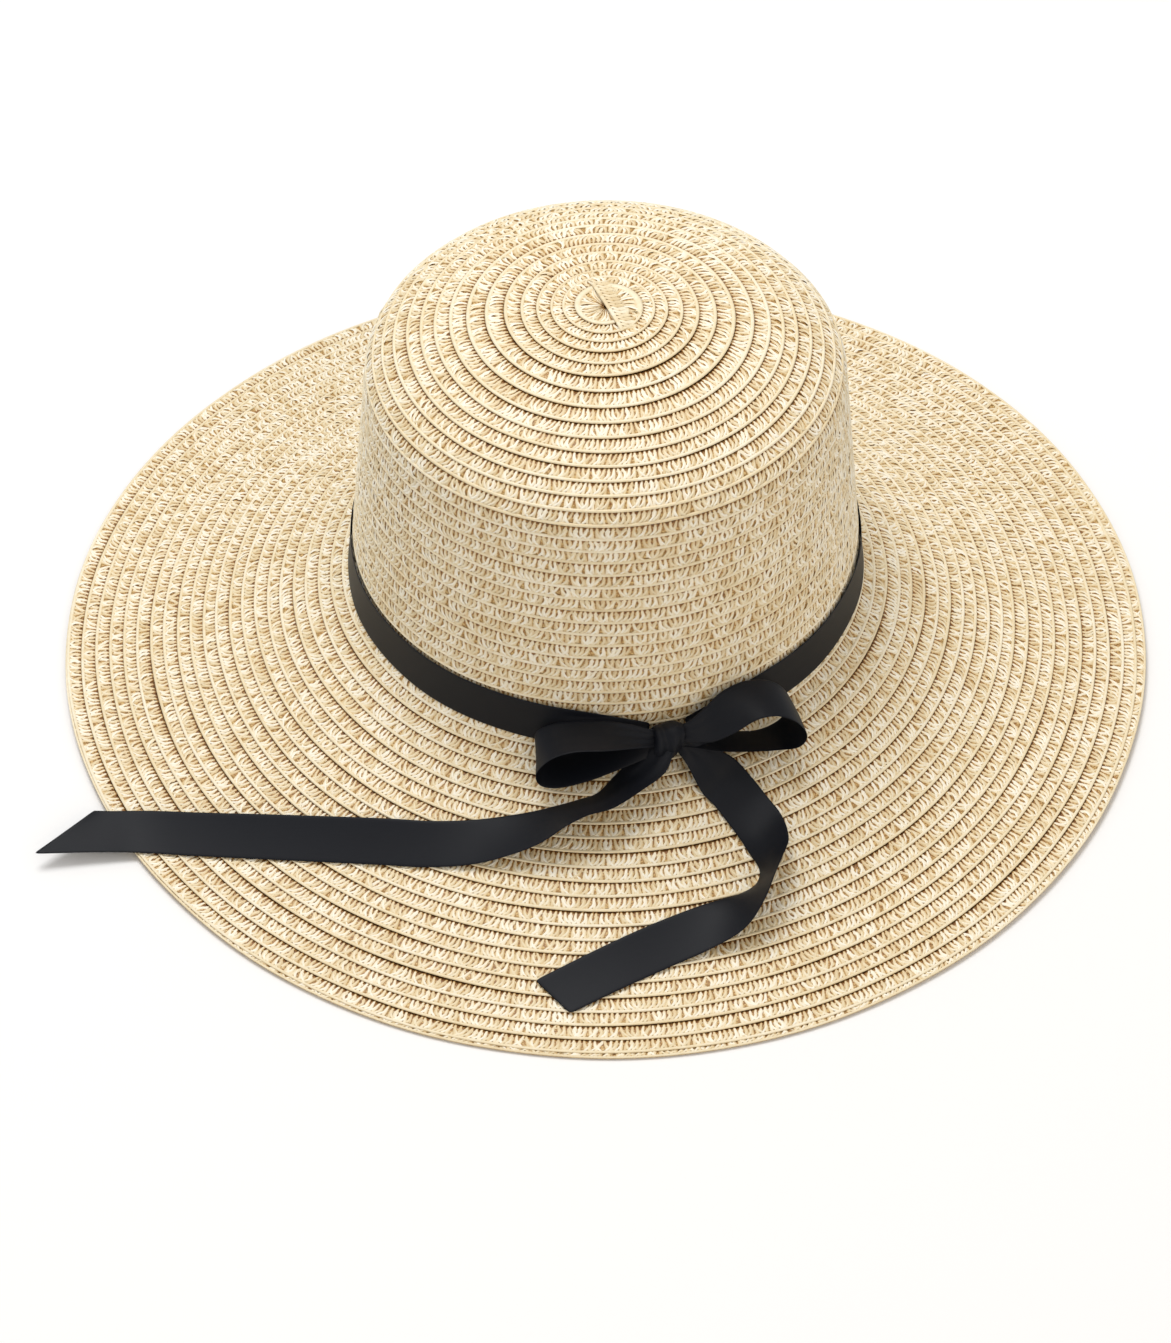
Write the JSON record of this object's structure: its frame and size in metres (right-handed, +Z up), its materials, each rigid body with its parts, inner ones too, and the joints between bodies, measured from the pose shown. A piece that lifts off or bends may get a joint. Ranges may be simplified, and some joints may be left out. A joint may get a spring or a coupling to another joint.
{
  "type": "straw sun hat",
  "caption": "Wide-brimmed sun hat of spirally sewn straw braid with a domed crown, a satin ribbon band, a bow and two free ribbon tails.",
  "frame": {"origin": "on the crown's axis, in the plane that the brim's edge stands on", "axes": "+Z up along the crown's axis; -Y towards the front of the brim, the bow being on that side a little towards +X; +X to the right as seen from the front"},
  "size_m": [0.4004, 0.4, 0.162],
  "materials": {
    "straw": "knitted paper straw braid, warm beige",
    "straw_top": "knitted paper straw braid, light cream beige",
    "satin": "black satin ribbon, soft sheen",
    "lining": "beige cotton tape",
    "label": "blank off-white woven tape"
  },
  "bodies": {
    "hat": {"crown_button": "straw_top", "crown_tip": "straw_top", "crown_side": "straw", "brim": "straw", "brim_edge": "straw", "sweatband": "lining", "size_label": "label", "ribbon_band": "satin", "bow_knot": "satin", "bow_loop_left": "satin", "bow_loop_right": "satin", "bow_tail_left_root": "satin", "bow_tail_right_root": "satin"},
    "left_tail": {"bow_tail_left": "satin"},
    "right_tail": {"bow_tail_right": "satin"}
  },
  "joints": [
    {"name": "left_tail_lift", "type": "hinge", "parent": "hat", "child": "left_tail", "pos_m": [-0.02594, -0.121, 0.02579], "axis": [-0.1347, 0.9151, 0.3801], "range_deg": [0, 70]},
    {"name": "right_tail_lift", "type": "hinge", "parent": "hat", "child": "right_tail", "pos_m": [0.05688, -0.11872, 0.02225], "axis": [-0.9399, -0.3389, 0.0416], "range_deg": [0, 70]}
  ]
}
